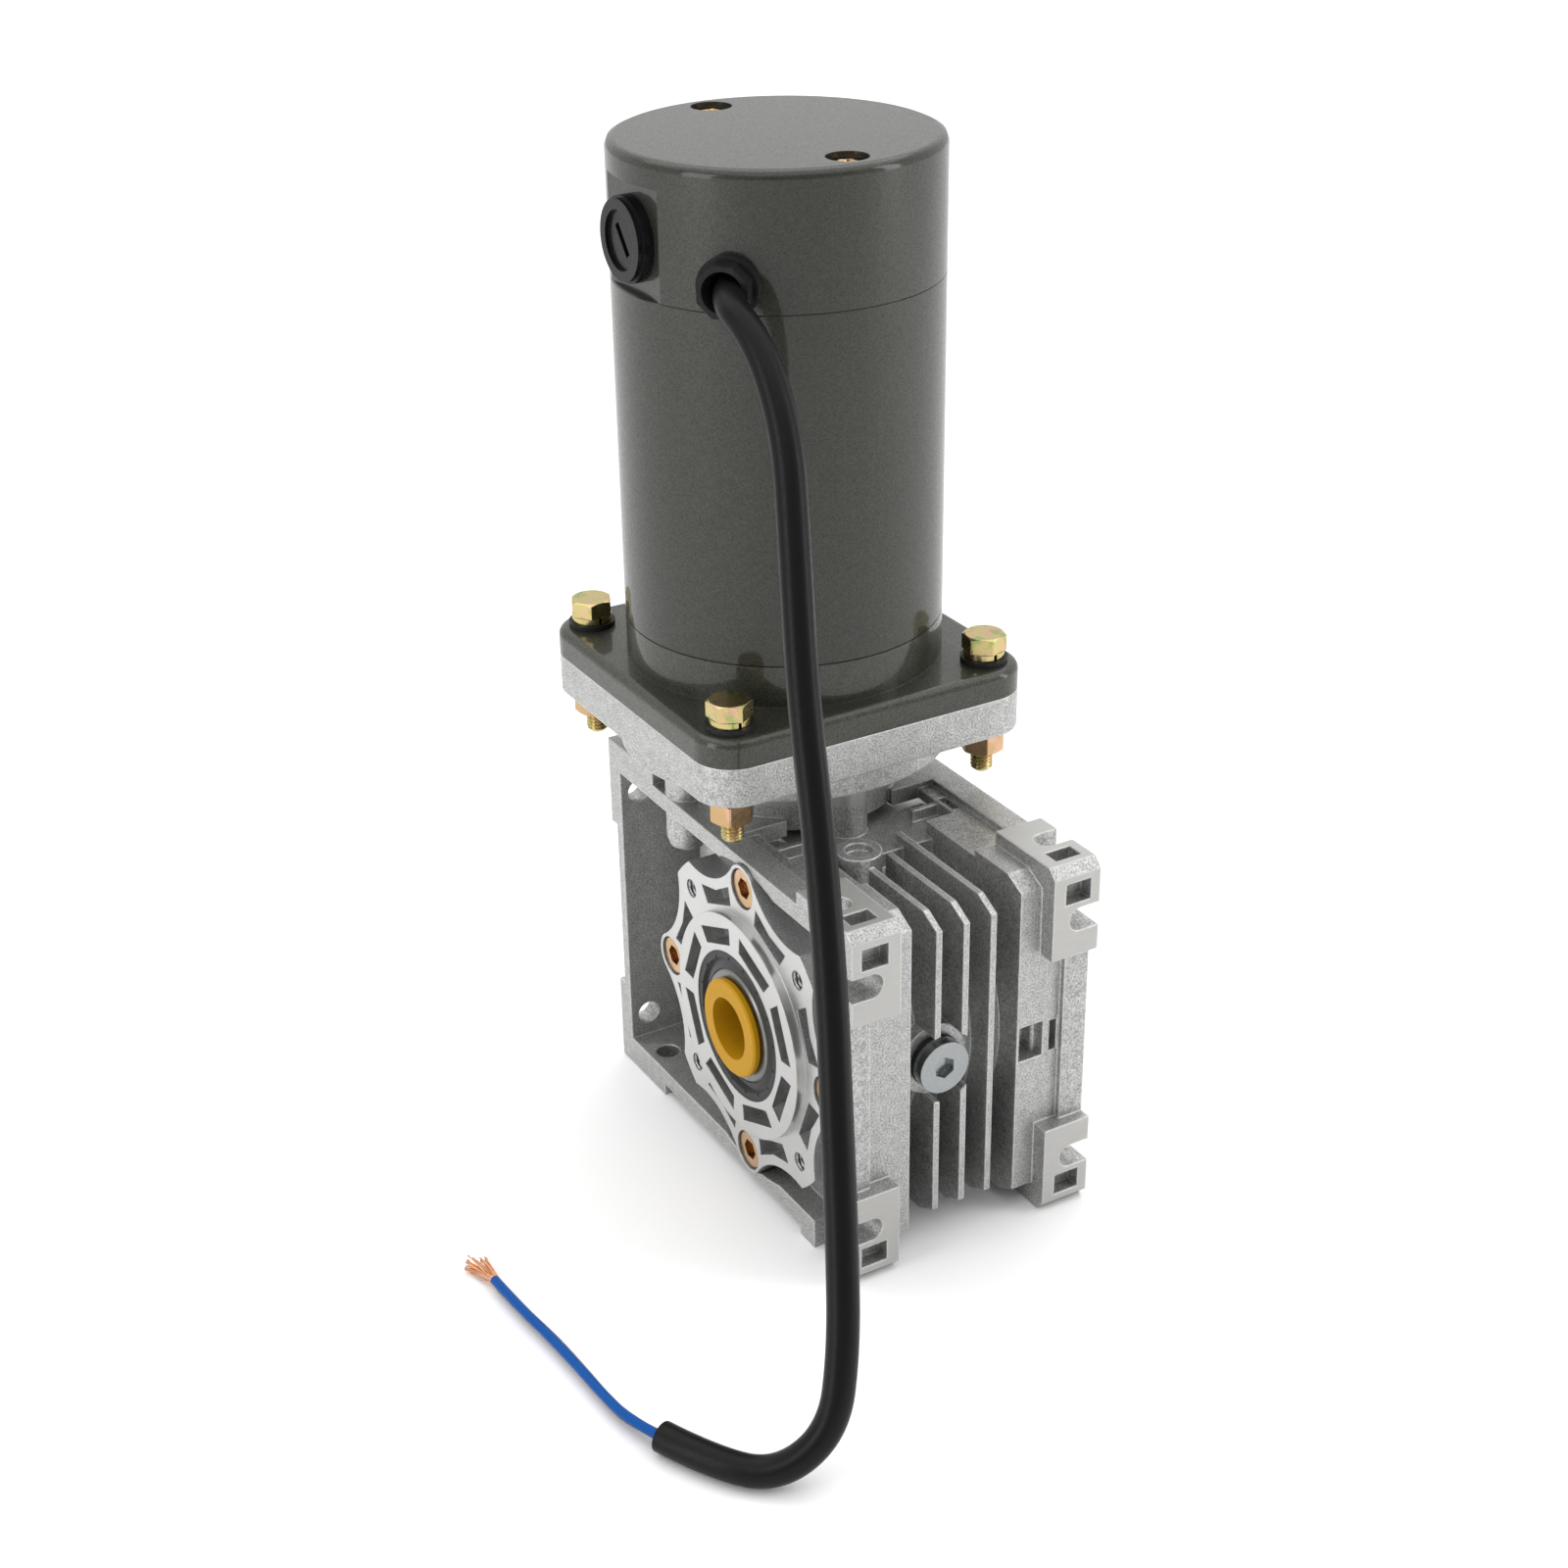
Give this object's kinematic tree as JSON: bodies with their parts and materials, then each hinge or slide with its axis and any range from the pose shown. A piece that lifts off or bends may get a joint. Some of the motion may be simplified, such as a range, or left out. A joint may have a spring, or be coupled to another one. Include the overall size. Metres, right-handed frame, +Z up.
{
  "type": "worm gear motor",
  "caption": "Right-angle worm gearbox with a hollow output shaft, driven by a flange-mounted brushed motor with a bare-ended cable.",
  "frame": {"origin": "middle of the hollow output shaft, on its axis", "axes": "+Y along the output bore towards its open end, +Z up along the motor, +X towards the finned face"},
  "size_m": [0.195, 0.1607, 0.2625],
  "materials": {
    "cast_aluminium": "shot-blasted",
    "turned_aluminium": "turned",
    "motor_paint": "metallic gloss",
    "yellow_zinc": "yellow zinc plated",
    "white_zinc": "zinc plated",
    "steel": "ground",
    "bronze": "machined",
    "black_rubber": "satin",
    "black_plastic": "satin",
    "yellow_plastic": "satin",
    "blue_plastic": "satin",
    "brown_plastic": "satin",
    "copper": "bare",
    "ferrite": "ground",
    "carbon": "pressed"
  },
  "bodies": {
    "root": {"housing": "cast_aluminium", "output_cover_near": "turned_aluminium", "output_cover_far": "turned_aluminium", "cover_screws_near": "yellow_zinc", "cover_screws_far": "yellow_zinc", "output_seal_near": "black_rubber", "output_seal_far": "black_rubber", "output_outer_race_near": "steel", "output_outer_race_far": "steel", "worm_outer_race_lower": "steel", "worm_outer_race_upper": "steel", "worm_end_cap": "black_rubber", "input_seal": "black_rubber", "oil_plug": "white_zinc", "oil_plug_ring": "black_rubber", "adaptor_plate": "cast_aluminium", "adaptor_screws": "steel", "motor_flange": "motor_paint", "motor_tube": "motor_paint", "rear_cap": "motor_paint", "cap_screws": "steel", "brush_cap_near": "black_plastic", "brush_cap_far": "black_plastic", "brush_holders": "bronze", "brushes": "carbon", "brush_springs": "steel", "motor_outer_race_front": "steel", "motor_outer_race_rear": "steel", "magnets": "ferrite", "flange_bolts": "yellow_zinc", "spring_washers": "yellow_zinc", "upper_washers": "black_rubber", "lower_washers": "black_rubber", "flange_nuts": "yellow_zinc", "cable_gland": "black_rubber", "cable_jacket": "black_plastic", "blue_core": "blue_plastic", "brown_core": "brown_plastic", "blue_strands": "copper", "brown_strands": "copper"},
    "output": {"output_shaft": "steel", "wheel_hub": "steel", "wheel_rim": "bronze", "shaft_plug": "yellow_plastic", "output_inner_race_near": "steel", "output_inner_race_far": "steel"},
    "rotor": {"worm": "steel", "worm_inner_race_lower": "steel", "worm_inner_race_upper": "steel", "motor_shaft": "steel", "motor_key": "steel", "armature_core": "steel", "armature_winding": "copper", "commutator": "copper", "motor_inner_race_front": "steel", "motor_inner_race_rear": "steel"}
  },
  "joints": [
    {"name": "motor_spin", "type": "hinge", "parent": "root", "child": "rotor", "pos_m": [-0.04, 0, 0.1], "axis": [0, 0, 1], "continuous": true},
    {"name": "output_spin", "type": "hinge", "parent": "root", "child": "output", "pos_m": [0, 0, 0], "axis": [0, 1, 0], "continuous": true}
  ],
  "couplings": [
    {"joint": "output_spin", "follows": "motor_spin", "ratio": -0.033333}
  ]
}
